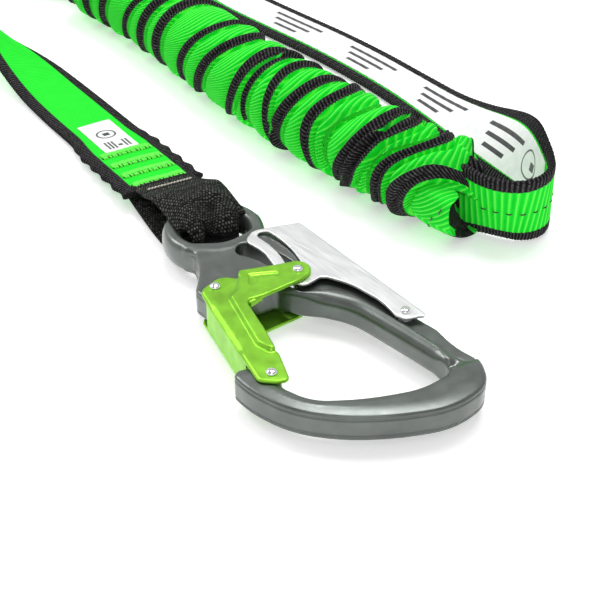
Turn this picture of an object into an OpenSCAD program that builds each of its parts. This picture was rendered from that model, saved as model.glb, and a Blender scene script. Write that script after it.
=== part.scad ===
// Shock absorbing lanyard: two double-action connectors joined by tubular webbing, which is
// gathered over an elastic core along its middle. It lies on the plane z = 0. The origin is
// on that plane under the centre of the anchor connector's eye, and +X runs from the eye to
// the basket of the hook. Units are millimetres.

/* [Connector] */
// Thickness of the forged hook body
body_t = 12; // [11:0.5:13]
// Thickness of the body at its outer walls, between the edge steps
wall_t = 7; // [6:0.5:9]
// Width of the step round the body's edges
edge_step = 1.4; // [0.8:0.1:1.8]
// Radius of the eye's hole
eye_r = 13.6; // [13:0.1:14.2]
// Outer radius of the eye
eye_outer_r = 21.2; // [20.6:0.1:21.8]
// Height of the body's middle plane above the ground
rest_z = 10; // [9.8:0.1:11]

/* [Gate and lever] */
// Thickness of the gate's sheet
gate_t = 1.5; // [1.2:0.1:1.5]
// Thickness of the lever's sheet
lever_t = 1.2; // [0.8:0.1:1.2]
// Gap between sliding sheets
sheet_gap = 0.2; // [0.15:0.05:0.2]
// Angle that the gate opens through
gate_travel = 51; // [40:1:51]
// Lever angle for each degree of gate angle
lever_ratio = 0.137; // [0.13:0.001:0.14]
// Radius of the rivet shanks
pin_r = 1.75; // [1.5:0.05:1.8]
// Radial running clearance of the pivots
pin_gap = 0.05; // [0.02:0.01:0.08]
// Radius of the domed rivet heads
head_r = 2.15; // [2.1:0.05:2.3]
// Height of the domed rivet heads
head_h = 1.4; // [1:0.1:1.4]

/* [Webbing] */
// Width of the tubular webbing laid flat
strap_w = 34; // [30:1:36]
// Thickness of the tubular webbing laid flat
strap_t = 4; // [3:0.5:4.5]
// Radius of the gathered webbing
gather_r = 20; // [18:0.5:21]
// Wall of the gathered webbing
gather_wall = 3; // [2:0.5:4]
// Radius of the elastic core
core_r = 6; // [5:0.5:8]
// Width of the black wear loops
loop_w = 22; // [18:1:24]
// Distance from an eye's centre to the end of its strap
loop_reach = 51; // [49:1:54]

/* [Hidden] */

// Pivot points in the connector's plane, from the centre of the eye
gate_pivot = [38, -28.5];
link_pin = [51, 1.5];
nose_pin = [92, -46];
lever_pivot = [96, 14.8];

// Connector levels, from the body's middle plane
face_z = body_t / 2;
sheet_z = face_z + sheet_gap;
gate_top = sheet_z + gate_t;
raised_z = sheet_z + lever_t + sheet_gap;
raised_top = raised_z + gate_t;

// Outlines as corners [x, y, fillet radius]
hook_outline = [
    [5, -21, 8], [9.5, -17.8, 7], [21, -22.8, 14], [32.5, -34, 5.2], [43.4, -34, 5.2],
    [43.6, -27, 3], [50, -16, 6], [51, -9.5, 3], [57, -6.8, 6], [67, -1, 14], [78, 4.6, 20],
    [98, 5.8, 40], [127, 6.3, 6.5], [130, 1.5, 5], [129.6, -11, 24], [121, -29, 30],
    [110, -43.2, 16], [98, -46.2, 5], [95, -43.8, 2], [83, -46.2, 3], [79.5, -55, 4],
    [92, -56.2, 14], [109, -52.8, 18], [123, -42.8, 30], [135, -28, 34], [144.8, -9, 26],
    [143.4, 9, 14], [132, 17, 12], [120, 16, 14], [109, 18.6, 8], [98, 18.2, 4],
    [60, 16.8, 30], [34, 15.8, 24], [16, 14.4, 8], [3, 20.8, 2]
];
lever_outline = [
    [15.6, 8, 6], [23.5, 26.6, 2.2], [100.8, 19.9, 1], [103, 18.6, 0.7], [101.4, 16.4, 2.2],
    [99.6, 11.6, 3.2], [95.2, 10.4, 3.2], [86, 13, 26], [70, 12.2, 28], [60.2, 8.3, 3],
    [58.6, 6.5, 2], [59, -2, 4], [51, -5.8, 5], [44, -2.8, 6], [30, 1.6, 20], [19.8, 0.6, 4.5]
];
lever_web_outline = [[26, 26.3, 0.2], [94, 20.5, 0.2], [94, 19.3, 0.2], [26, 25.1, 0.2]];
gate_low_outline = [
    [36.2, -34.5, 5.5], [92, -52.2, 4], [99.5, -47.6, 3.4], [96.4, -40.6, 4], [84, -36.2, 3],
    [80, -39.4, 3], [51, -28.8, 3], [47.4, -20, 3], [40.6, -17.6, 2], [33.4, -22.3, 5.5]
];
gate_high_outline = [
    [76.5, -39.8, 2], [82.5, -38.8, 2], [83.4, -36.8, 1.5], [72, -32.4, 30], [54, -26.4, 2.6],
    [55.8, -19.5, 4], [57, -2, 12], [54.8, 6.8, 5.2], [46.4, 6.8, 5.2], [43.2, -2, 20],
    [36.6, -16.2, 1.5], [40, -19, 2.5], [45.6, -24.6, 2.5], [47.8, -29.4, 2.5]
];
gate_web_outline = [[44, -36.9, 0.4], [80, -48.3, 0.4], [79.6, -46.9, 0.4], [43.6, -35.5, 0.4]];
body_slot = [26.2, 35.4];

// Places of the two connectors: [eye x, eye y, turn about z, strap's own turn]
anchor_place = [0, 0, 0, -12];
tool_place = [-320, 176, 180, 0];

// Routes of the webbing as [x, y, z, tilt]: tilt 0 lies flat, 90 stands on its edge
lead_route = [
    [-49.9, 10.6, 8.4, 0], [-74, 15, 6.4, 0], [-98, 19.4, 4.4, 0], [-122, 23.8, 2.6, 0],
    [-148, 27, 2.4, 0], [-175, 30, 3.4, 4], [-205, 33, 7.4, 18], [-232, 35.4, 13.2, 42],
    [-256, 37.8, 16.8, 68], [-278, 42, 17.6, 86], [-298, 50, 17.6, 90], [-310, 62, 17.6, 90],
    [-314, 76, 17.6, 90], [-310, 90, 17.6, 90], [-298, 101, 17.6, 90], [-280, 107.6, 17.6, 90],
    [-262, 109.6, 17.6, 90]
];
gather_route = [
    [-261.6, 109.7, 20.2, 0], [-226, 109.6, 20.2, 0], [-190, 107.4, 20.2, 0],
    [-152, 102.6, 20.2, 0], [-114, 97, 20.2, 0], [-76, 92.4, 20.2, 0], [-38, 90, 20.2, 0],
    [0, 89.4, 20.2, 0], [30, 90, 20.2, 0], [53, 91.6, 20.2, 0]
];
tail_route = [
    [53.4, 91.7, 17.6, 98], [62, 93.2, 17.6, 106], [70, 95.8, 17.6, 108],
    [76.4, 100.8, 17.6, 105], [79, 108.6, 17.6, 98], [77.4, 117, 17.6, 91], [71, 125, 17.5, 88],
    [60.4, 132.2, 17.3, 93], [47, 139, 16.2, 107], [30, 146, 13.6, 128], [10, 153.2, 9.6, 149],
    [-10, 159.6, 6, 165], [-34, 165.8, 3.2, 176], [-62, 170.8, 2.4, 180], [-94, 174.2, 2.4, 180],
    [-128, 176, 2.4, 180], [-162, 176, 2.4, 180], [-196, 176, 2.6, 180], [-220, 176, 4.4, 180],
    [-244, 176, 6.4, 180], [-269, 176, 8.4, 180]
];

// Small lengths shared by the soft parts
skin_gap = 0.15;
twist_gap = 0.8;
label_t = 0.4;
tack_t = 0.6;
spring_gap = 0.3;
arc_step = 14;

function unit(v) = v / norm(v);
function turned(p, a) = [p[0] * cos(a) - p[1] * sin(a), p[0] * sin(a) + p[1] * cos(a)];

// Fillet of radius r at corner p, between the corners before and after it
function fillet(p0, p, p1, r) =
    let (
        a = unit(p0 - p), b = unit(p1 - p), ang = acos(a * b),
        t = min(r / tan(ang / 2), 0.49 * norm(p0 - p), 0.49 * norm(p1 - p)),
        rr = t * tan(ang / 2), c = p + unit(a + b) * rr / sin(ang / 2),
        s = p + a * t - c, e = p + b * t - c, a0 = atan2(s[1], s[0]),
        d0 = atan2(e[1], e[0]) - a0, d = d0 > 180 ? d0 - 360 : (d0 < -180 ? d0 + 360 : d0),
        n = max(1, ceil(abs(d) / arc_step))
    )
    [for (i = [0:n]) c + rr * [cos(a0 + d * i / n), sin(a0 + d * i / n)]];

function xy(q) = [q[0], q[1]];

function rounded(corners) =
    let (n = len(corners))
    [for (i = [0:n - 1])
        each fillet(xy(corners[(i + n - 1) % n]), xy(corners[i]), xy(corners[(i + 1) % n]),
            corners[i][2])];

// A closed anticlockwise path moved inwards by d
function inset(path, d) =
    let (n = len(path))
    [for (i = [0:n - 1])
        let (t = unit(path[(i + 1) % n] - path[(i + n - 1) % n])) path[i] + d * [-t[1], t[0]]];

// Where the link pin lies in the lever's own plane when the gate has turned by a
function pin_in_lever(a) =
    lever_pivot + turned(gate_pivot + turned(link_pin - gate_pivot, a) - lever_pivot,
        -lever_ratio * a);

module plate(corners, z, t) {
    translate([0, 0, z]) linear_extrude(t) polygon(rounded(corners));
}

// The same plate on both sides of the connector's middle plane
module twin_plate(corners, z, t) {
    plate(corners, z, t);
    plate(corners, -z - t, t);
}

module bore(p, r) {
    translate([p[0], p[1], -15]) cylinder(r = r, h = 30, $fn = 48);
}

// A slot of width w along the points of a path, with round ends
module path_slot(points, w) {
    n = len(points);
    sides = [for (i = [0:n - 1])
        let (t = unit(points[min(i + 1, n - 1)] - points[max(i - 1, 0)])) [-t[1], t[0]]];
    first_end = [for (a = [165:-15:15]) points[0] - turned(sides[0], -a) * w / 2];
    last_end = [for (a = [165:-15:15]) points[n - 1] + turned(sides[n - 1], -a) * w / 2];
    outline = concat([for (i = [0:n - 1]) points[i] - sides[i] * w / 2], last_end,
        [for (i = [n - 1:-1:0]) points[i] + sides[i] * w / 2], first_end);
    translate([0, 0, -15]) linear_extrude(30) polygon(outline);
}

// Domed rivet through the connector, with a flat tail that reaches the ground
module rivet(p, seat, middle_r) {
    dome_r = (head_r * head_r + head_h * head_h) / (2 * head_h);
    translate([p[0], p[1], 0]) {
        translate([0, 0, -seat - 0.05]) cylinder(r = pin_r, h = 2 * seat + 0.1, $fn = 48);
        translate([0, 0, -wall_t / 2]) cylinder(r = middle_r, h = wall_t, $fn = 48);
        translate([0, 0, -rest_z]) cylinder(r = head_r, h = rest_z - seat - 0.05, $fn = 48);
        intersection() {
            translate([0, 0, seat + 0.05 + head_h - dome_r]) sphere(r = dome_r, $fn = 48);
            translate([0, 0, seat + 0.05]) cylinder(r = head_r, h = head_h + 1, $fn = 48);
        }
    }
}

// Close-wound torsion spring of a few coils, with one leg that runs off sideways
module torsion_spring(p, turn, mean_r, wire_r, coils, leg) {
    pitch = 1.9 * wire_r;
    bottom = face_z - spring_gap - wire_r - (coils - 1) * pitch;
    translate([p[0], p[1], bottom]) rotate([0, 0, turn]) {
        rotate_extrude($fn = 48) for (i = [0:coils - 1])
            translate([mean_r, i * pitch]) circle(r = wire_r, $fn = 16);
        translate([mean_r, 0, 0]) rotate([-90, 0, 0]) cylinder(r = wire_r, h = leg, $fn = 16);
    }
}

// Round pocket for a spring's coils, with a channel for its leg
module spring_pocket(p, turn, r, depth, reach) {
    translate([p[0], p[1], face_z - depth]) rotate([0, 0, turn]) {
        cylinder(r = r, h = depth + 1, $fn = 48);
        translate([r - 1.5, 0, 0]) cube([1.5, reach, depth + 1]);
    }
}

// Ring of the eye; grow is the clearance left round it
module eye_ring(grow) {
    rotate_extrude($fn = 96) polygon(rounded([
        [eye_r - grow, -face_z - grow, 3], [eye_outer_r + grow, -face_z - grow, 3],
        [eye_outer_r + grow, face_z + grow, 3], [eye_r - grow, face_z + grow, 3]
    ]));
}

// Parts of a connector, about the centre of its eye and its middle plane

module hook_body() {
    path = rounded(hook_outline);
    slot_r = (body_slot[0] + body_slot[1]) / 2;
    away = unit([-(nose_pin - gate_pivot)[1], (nose_pin - gate_pivot)[0]]);
    color([0.36, 0.39, 0.37]) difference() {
        union() {
            difference() {
                union() {
                    translate([0, 0, -wall_t / 2]) linear_extrude(wall_t) polygon(path);
                    translate([0, 0, -face_z]) linear_extrude(body_t)
                        polygon(inset(path, edge_step));
                }
                cylinder(r = eye_r + 3, h = 30, center = true, $fn = 96);
            }
            eye_ring(0);
        }
        path_slot([for (a = [66:6.5:118]) gate_pivot + slot_r * [cos(a), sin(a)]],
            body_slot[1] - body_slot[0]);
        bore(gate_pivot, pin_r + pin_gap);
        bore(lever_pivot, pin_r + pin_gap);
        path_slot([nose_pin, nose_pin + away * 9], 2 * pin_r + 0.5);
        spring_pocket(gate_pivot, 0, 3.5, 4, 9);
        spring_pocket(lever_pivot, 180, 2.9, 2.4, 8);
    }
}

module gate() {
    color([0.5, 0.78, 0.2]) difference() {
        union() {
            twin_plate(gate_low_outline, sheet_z, gate_t);
            twin_plate(gate_high_outline, raised_z, gate_t);
            translate([0, 0, -sheet_z - 0.1]) linear_extrude(2 * sheet_z + 0.2)
                polygon(rounded(gate_web_outline));
        }
        bore(gate_pivot, pin_r + pin_gap);
        bore(link_pin, pin_r + pin_gap);
        bore(nose_pin, pin_r + pin_gap);
    }
}

module lever() {
    color([0.86, 0.87, 0.88]) difference() {
        union() {
            twin_plate(lever_outline, sheet_z, lever_t);
            translate([0, 0, -sheet_z - 0.1]) linear_extrude(2 * sheet_z + 0.2)
                polygon(rounded(lever_web_outline));
        }
        path_slot([for (a = [0:6]) pin_in_lever(gate_travel * a / 6)], 2 * pin_r + 2.6);
        bore(lever_pivot, pin_r + pin_gap);
    }
}

module gate_pivot_rivet() {
    color([0.9, 0.9, 0.92]) rivet(gate_pivot, gate_top, pin_r);
}

module gate_link_rivet() {
    color([0.9, 0.9, 0.92]) rivet(link_pin, raised_top, pin_r + 0.5);
}

module gate_nose_rivet() {
    color([0.9, 0.9, 0.92]) rivet(nose_pin, gate_top, pin_r);
}

module lever_pivot_rivet() {
    color([0.9, 0.9, 0.92]) rivet(lever_pivot, sheet_z + lever_t, pin_r);
}

module gate_spring() {
    color([0.6, 0.6, 0.62]) torsion_spring(gate_pivot, 0, 2.7, 0.45, 4, 7);
}

module lever_spring() {
    color([0.6, 0.6, 0.62]) torsion_spring(lever_pivot, 180, 2.3, 0.3, 3, 6);
}

// Puts a connector's part in its place on the ground
module placed(place) {
    translate([place[0], place[1], rest_z]) rotate([0, 0, place[2]]) children();
}

// Soft parts

function heading(route, i) =
    unit([for (k = [0:1]) route[min(i + 1, len(route) - 1)][k] - route[max(i - 1, 0)][k]]);

// One ring of a sweep: an oval outline of width w and thickness t, moved off by lift
function strap_ring(route, i, w, t, lift, sides) =
    let (
        h = heading(route, i), n = [-h[1], h[0], 0], q = route[i][3],
        across = cos(q) * n + sin(q) * [0, 0, 1], face = -sin(q) * n + cos(q) * [0, 0, 1],
        c = [route[i][0], route[i][1], route[i][2]] + face * lift
    )
    [for (s = [0:sides - 1])
        let (a = 360 * (s + 0.5) / sides, x = cos(a), y = sin(a))
        c + across * w / 2 * sign(x) * pow(abs(x), 0.45) + face * t / 2 * sign(y)
            * pow(abs(y), 0.45)];

function tube_ring(route, i, r, sides) =
    let (h = heading(route, i), n = [-h[1], h[0], 0])
    [for (s = [0:sides - 1])
        let (a = 360 * (s + 0.5) / sides)
        [route[i][0], route[i][1], route[i][2]] + n * r * cos(a) + [0, 0, r * sin(a)]];

// The triangles between two neighbouring rings of a sweep, whose points start at a and b.
// Both faces of a flat ring are divided along the same diagonal, so that a twist keeps its thickness.
function between(a, b, sides) =
    [for (s = [0:sides - 1])
        let (n = (s + 1) % sides)
        each (s < sides / 2
            ? [[a + s, a + n, b + n], [a + s, b + n, b + s]]
            : [[a + s, a + n, b + s], [a + n, b + n, b + s]])];

// A closed solid through rings of points
module skin(rings) {
    sides = len(rings[0]);
    last = len(rings) - 1;
    points = [for (ring = rings) each ring];
    walls = [for (i = [0:last - 1]) each between(i * sides, (i + 1) * sides, sides)];
    front = [for (s = [sides - 1:-1:0]) s];
    back = [for (s = [0:sides - 1]) last * sides + s];
    polyhedron(points = points, faces = concat(walls, [front], [back]), convexity = 6);
}

// An open pipe between outer and inner rings
module pipe(outer, inner) {
    sides = len(outer[0]);
    last = len(outer) - 1;
    count = len(outer) * sides;
    points = concat([for (ring = outer) each ring], [for (ring = inner) each ring]);
    walls = [for (i = [0:last - 1])
        each concat(between(i * sides, (i + 1) * sides, sides),
            between(count + (i + 1) * sides, count + i * sides, sides))];
    ends = concat(between(count, 0, sides),
        between(last * sides, count + last * sides, sides));
    polyhedron(points = points, faces = concat(walls, ends), convexity = 6);
}

module strap(route, first, last, w, t, lift) {
    skin([for (i = [first:last]) strap_ring(route, i, w, t, lift, 12)]);
}

module lead_webbing() {
    color([0.1, 0.85, 0.2]) strap(lead_route, 0, len(lead_route) - 1, strap_w, strap_t, 0);
}

module gathered_webbing() {
    stations = [0:len(gather_route) - 1];
    color([0.1, 0.85, 0.2]) pipe(
        [for (i = stations) tube_ring(gather_route, i, gather_r, 12)],
        [for (i = stations) tube_ring(gather_route, i, gather_r - gather_wall, 12)]
    );
}

module elastic_core() {
    last = len(gather_route) - 1;
    color([0.15, 0.15, 0.15]) skin([for (i = [0:last]) tube_ring(gather_route, i, core_r, 12)]);
}

module tail_webbing() {
    color([0.1, 0.85, 0.2]) strap(tail_route, 0, len(tail_route) - 1, strap_w, strap_t, 0);
}

module identity_label() {
    color([0.9, 0.9, 0.9]) strap(lead_route, 2, 3, strap_w - 12, label_t,
        strap_t / 2 + label_t / 2 + skin_gap);
}

module load_label() {
    color([0.9, 0.9, 0.9]) strap(tail_route, 6, 17, strap_w - 10, label_t,
        -strap_t / 2 - label_t / 2 - twist_gap);
}

// Black wear loop through an eye: two plies joined at the strap, open round the ring
module wear_loop(turn) {
    color([0.06, 0.06, 0.06]) rotate([0, 0, turn]) difference() {
        rotate([90, 0, 0]) linear_extrude(loop_w, center = true) polygon([
            [-loop_reach + 0.2, -3.4], [-loop_reach + 0.2, 0.4], [-40, 2.6], [-25, 9],
            [-15, 9.4], [-7, 6], [-6, 0], [-7, -6], [-14, -9.4], [-25, -9.4], [-40, -5.4]
        ]);
        rotate([90, 0, 0]) linear_extrude(loop_w + 2, center = true) polygon([
            [-36, -1.2], [-25, 6.4], [-19, 6.4], [-19, -6.4], [-25, -6.4]
        ]);
        eye_ring(0.5);
    }
}

// Bars of stitching across the end of a strap, where the wear loop is sewn in
module bar_tacks(route, from, to) {
    run = [for (k = [0:2]) route[to][k] - route[from][k]];
    yaw = atan2(run[1], run[0]);
    pitch = -atan2(run[2], norm([run[0], run[1]]));
    color([0.3, 1, 0.3]) translate([for (k = [0:2]) route[from][k]]) rotate([0, pitch, yaw])
        for (i = [0:3])
            translate([3 + 12 * i, -(strap_w - 10) / 2, strap_t / 2 + 0.05])
                cube([3, strap_w - 10, tack_t]);
}

// Light bar of stitching that closes a wear loop next to its strap
module loop_tack(turn) {
    color([0.7, 0.7, 0.66]) rotate([0, 0, turn])
        translate([-46.5, -loop_w / 2 + 1, 1.38]) rotate([0, -11.3, 0])
            cube([1.6, loop_w - 2, tack_t]);
}

placed(anchor_place) hook_body();  // anchor_hook_body
placed(anchor_place) gate();  // anchor_gate
placed(anchor_place) gate_pivot_rivet();  // anchor_gate_pivot_rivet
placed(anchor_place) gate_link_rivet();  // anchor_gate_link_rivet
placed(anchor_place) gate_nose_rivet();  // anchor_gate_nose_rivet
placed(anchor_place) gate_spring();  // anchor_gate_spring
placed(anchor_place) lever();  // anchor_lever
placed(anchor_place) lever_pivot_rivet();  // anchor_lever_pivot_rivet
placed(anchor_place) lever_spring();  // anchor_lever_spring
placed(tool_place) hook_body();  // tool_hook_body
placed(tool_place) gate();  // tool_gate
placed(tool_place) gate_pivot_rivet();  // tool_gate_pivot_rivet
placed(tool_place) gate_link_rivet();  // tool_gate_link_rivet
placed(tool_place) gate_nose_rivet();  // tool_gate_nose_rivet
placed(tool_place) gate_spring();  // tool_gate_spring
placed(tool_place) lever();  // tool_lever
placed(tool_place) lever_pivot_rivet();  // tool_lever_pivot_rivet
placed(tool_place) lever_spring();  // tool_lever_spring
lead_webbing();
gathered_webbing();
elastic_core();
tail_webbing();
placed(anchor_place) wear_loop(anchor_place[3]);  // anchor_wear_loop
placed(tool_place) wear_loop(tool_place[3]);  // tool_wear_loop
bar_tacks(lead_route, 0, 1);  // anchor_bar_tacks
bar_tacks(tail_route, 20, 19);  // tool_bar_tacks
placed(anchor_place) loop_tack(anchor_place[3]);  // anchor_loop_tack
placed(tool_place) loop_tack(tool_place[3]);  // tool_loop_tack
identity_label();
load_label();
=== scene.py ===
"""Looks of a shock absorbing lanyard: gathered tubular webbing with a double-action connector at each end."""
import math

import bpy
import numpy as np
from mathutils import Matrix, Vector


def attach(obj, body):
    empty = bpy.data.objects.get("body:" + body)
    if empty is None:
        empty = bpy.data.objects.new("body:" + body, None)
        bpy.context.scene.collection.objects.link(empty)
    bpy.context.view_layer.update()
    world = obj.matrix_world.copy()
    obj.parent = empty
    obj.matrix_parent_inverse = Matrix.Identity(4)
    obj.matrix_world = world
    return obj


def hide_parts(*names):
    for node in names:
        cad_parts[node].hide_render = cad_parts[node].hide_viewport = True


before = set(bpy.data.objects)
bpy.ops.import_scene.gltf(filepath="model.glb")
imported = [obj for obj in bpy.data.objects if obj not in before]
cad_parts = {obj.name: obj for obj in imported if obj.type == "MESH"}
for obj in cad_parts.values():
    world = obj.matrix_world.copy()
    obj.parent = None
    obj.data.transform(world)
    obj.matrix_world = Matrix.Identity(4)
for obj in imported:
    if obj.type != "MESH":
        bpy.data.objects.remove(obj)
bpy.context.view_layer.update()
MM = 0.001
LENS, CAMERA_AT, CAMERA_AIM = 77.1, (0.3611, -0.2668, 0.2917), (0.0465, 0.0065, 0)
SKY = ((0.0, 1.0), (0.4, 0.9), (0.7, 0.52), (1.0, 0.38))
FLOOR_SIDE = 6


# ---------------- camera, light and floor

def look_at(obj, target):
    way = Vector(target) - obj.location
    obj.rotation_euler = way.to_track_quat("-Z", "Y").to_euler()


def new_object(name, data):
    obj = bpy.data.objects.new(name, data)
    bpy.context.collection.objects.link(obj)
    return obj


def add_camera():
    data = bpy.data.cameras.new("camera")
    data.lens, data.sensor_width = LENS, 36
    data.clip_start, data.clip_end = 0.01, 20
    cam = new_object("camera", data)
    cam.location = CAMERA_AT
    look_at(cam, CAMERA_AIM)
    bpy.context.scene.camera = cam


def add_area(name, place, target, size, power):
    data = bpy.data.lights.new(name, "AREA")
    data.shape, data.size, data.size_y, data.energy = "RECTANGLE", size[0], size[1], power
    light = new_object(name, data)
    light.location = place
    look_at(light, target)


def add_sky():
    """A white surround, dimmer overhead."""
    world = bpy.data.worlds.new("studio")
    bpy.context.scene.world = world
    world.use_nodes = True
    tree = world.node_tree
    way = tree.nodes.new("ShaderNodeTexCoord")
    split = tree.nodes.new("ShaderNodeSeparateXYZ")
    shade = tree.nodes.new("ShaderNodeValToRGB")
    tree.links.new(way.outputs["Generated"], split.inputs["Vector"])
    tree.links.new(split.outputs["Z"], shade.inputs["Fac"])
    tree.links.new(shade.outputs["Color"], tree.nodes["Background"].inputs["Color"])
    stops = shade.color_ramp.elements
    for k, (at, white) in enumerate(SKY):
        stop = stops[k] if k < 2 else stops.new(at)
        stop.position, stop.color = at, (white, white, white, 1)
    tree.nodes["Background"].inputs["Strength"].default_value = 0.82


def add_studio():
    add_sky()
    add_area("top_softbox", (-0.32, 0.55, 1.75), (0, 0.05, 0), (1.0, 0.8), 19)
    add_area("side_softbox", (0.9, -0.7, 1.4), (0, 0.05, 0), (0.8, 0.8), 4)
    add_area("low_softbox", (-1.0, -0.3, 1.1), (0.06, 0, 0), (0.6, 0.5), 6)
    bpy.context.scene.view_settings.view_transform = "Standard"
    corners = [(x * FLOOR_SIDE / 2, y * FLOOR_SIDE / 2, 0) for x, y in ((-1, -1), (1, -1), (1, 1), (-1, 1))]
    floor = quad_mesh("studio_floor", corners, [(0, 1, 2, 3)])
    g = Graph("floor_white", (0.82, 0.82, 0.82), 0, 0.6)
    fac = g.ramp(g.noise(g.place(), 2), 0.35, 0.65)
    g.paint(fac, (0.81, 0.81, 0.81), (0.83, 0.83, 0.83))
    g.set("Emission Color", (1, 1, 1, 1))
    g.set("Emission Strength", 0.42)
    g.set("Specular IOR Level", 0.1)
    floor.data.materials.append(g.material)


# ---------------- mesh and material helpers

def quad_mesh(name, verts, quads):
    """A mesh of quads from arrays, smooth shaded."""
    mesh = bpy.data.meshes.new(name)
    n, m = len(verts), len(quads)
    mesh.vertices.add(n)
    mesh.vertices.foreach_set("co", np.asarray(verts, float).ravel())
    mesh.loops.add(m * 4)
    mesh.loops.foreach_set("vertex_index", np.asarray(quads, int).ravel())
    mesh.polygons.add(m)
    mesh.polygons.foreach_set("loop_start", np.arange(m) * 4)
    mesh.polygons.foreach_set("loop_total", np.full(m, 4))
    mesh.update(calc_edges=True)
    mesh.validate()
    mesh.shade_smooth()
    return new_object(name, mesh)


def point_values(obj, name, values):
    """A number for each point of a mesh, or a vector for each point of a grid."""
    kind, key = ("FLOAT_VECTOR", "vector") if values.ndim == 3 else ("FLOAT", "value")
    layer = obj.data.attributes.new(name, kind, "POINT")
    layer.data.foreach_set(key, np.asarray(values, float).ravel())


class Graph:
    """A node material round one Principled shader."""

    def __init__(self, name, color, metallic, roughness):
        self.material = bpy.data.materials.new(name)
        self.material.use_nodes = True
        self.tree = self.material.node_tree
        self.shader = self.tree.nodes["Principled BSDF"]
        self.set("Base Color", (*color, 1))
        self.set("Metallic", metallic)
        self.set("Roughness", roughness)

    def node(self, kind, inputs=None, **props):
        n = self.tree.nodes.new("ShaderNode" + kind)
        for k, v in props.items():
            setattr(n, k, v)
        for k, v in (inputs or {}).items():
            if isinstance(v, bpy.types.NodeSocket):
                self.tree.links.new(v, n.inputs[k])
            else:
                n.inputs[k].default_value = v
        return n

    def link(self, socket, target):
        self.tree.links.new(socket, self.shader.inputs[target])

    def set(self, target, value):
        self.shader.inputs[target].default_value = value

    def value(self, name):
        """A number that the mesh holds for each point."""
        return self.node("Attribute", attribute_name=name).outputs["Fac"]

    def place(self, stretch=(1, 1, 1)):
        """Object coordinates, stretched."""
        c = self.node("TexCoord")
        return self.node("Mapping", {"Vector": c.outputs["Object"], "Scale": stretch}).outputs["Vector"]

    def weave(self, stretch=(1, 1, 1)):
        """The fabric's own coordinates in millimetres: across, along."""
        a = self.node("Attribute", attribute_name="weave")
        return self.node("Mapping", {"Vector": a.outputs["Vector"], "Scale": stretch}).outputs["Vector"]

    def noise(self, where, scale, detail=3.0):
        return self.node("TexNoise", {"Vector": where, "Scale": scale, "Detail": detail}).outputs["Fac"]

    def ramp(self, value, low, high, to_low=0.0, to_high=1.0):
        return self.node("MapRange", {"Value": value, "From Min": low, "From Max": high,
                                      "To Min": to_low, "To Max": to_high}).outputs["Result"]

    def math(self, op, a, b=0.0):
        return self.node("Math", {0: a, 1: b}, operation=op).outputs[0]

    def times(self, a, b):
        return self.math("MULTIPLY", a, b)

    def blend(self, fac, a, b):
        n = self.node("Mix", data_type="RGBA")
        self.tree.links.new(fac, n.inputs["Factor"])
        ins = [s for s in n.inputs if s.type == "RGBA"]
        for socket, v in zip(ins, (a, b)):
            if isinstance(v, bpy.types.NodeSocket):
                self.tree.links.new(v, socket)
            else:
                socket.default_value = (*v, 1)
        return [s for s in n.outputs if s.type == "RGBA"][0]

    def paint(self, fac, a, b):
        self.link(self.blend(fac, a, b), "Base Color")

    def bump(self, height, distance, strength=1.0):
        n = self.node("Bump", {"Height": height, "Distance": distance, "Strength": strength})
        self.link(n.outputs["Normal"], "Normal")


def anodised(name, color, roughness, metallic, coat=0.0):
    g = Graph(name, color, metallic, roughness)
    dark = tuple(0.86 * c for c in color)
    light = tuple(min(1, 1.12 * c) for c in color)
    where = g.place()
    g.paint(g.ramp(g.noise(where, 90, 4), 0.35, 0.65), dark, light)
    g.link(g.ramp(g.noise(where, 260, 3), 0.3, 0.7, roughness - 0.05, roughness + 0.07), "Roughness")
    g.bump(g.noise(where, 2600, 2), 0.00002, 0.35)
    g.set("Coat Weight", coat)
    g.set("Coat Roughness", 0.24)
    return g.material


def steel(name, color, roughness, stretch=(1, 1, 1)):
    """Brushed steel; attribute inside marks the faces that hardly any light reaches, painted near black there
    as painted shade.
    """
    g = Graph(name, color, 1.0, roughness)
    streak = g.noise(g.place(stretch), 900, 3)
    g.link(g.ramp(streak, 0.3, 0.7, roughness * 0.85, roughness * 1.2), "Roughness")
    clean = g.blend(g.ramp(streak, 0.3, 0.7), tuple(0.97 * c for c in color), color)
    # painted shade: near black on the faces that the attribute inside marks
    g.paint(g.value("inside"), clean, (0.05, 0.055, 0.052))
    g.bump(streak, 0.000001, 0.2)
    return g.material


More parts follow.
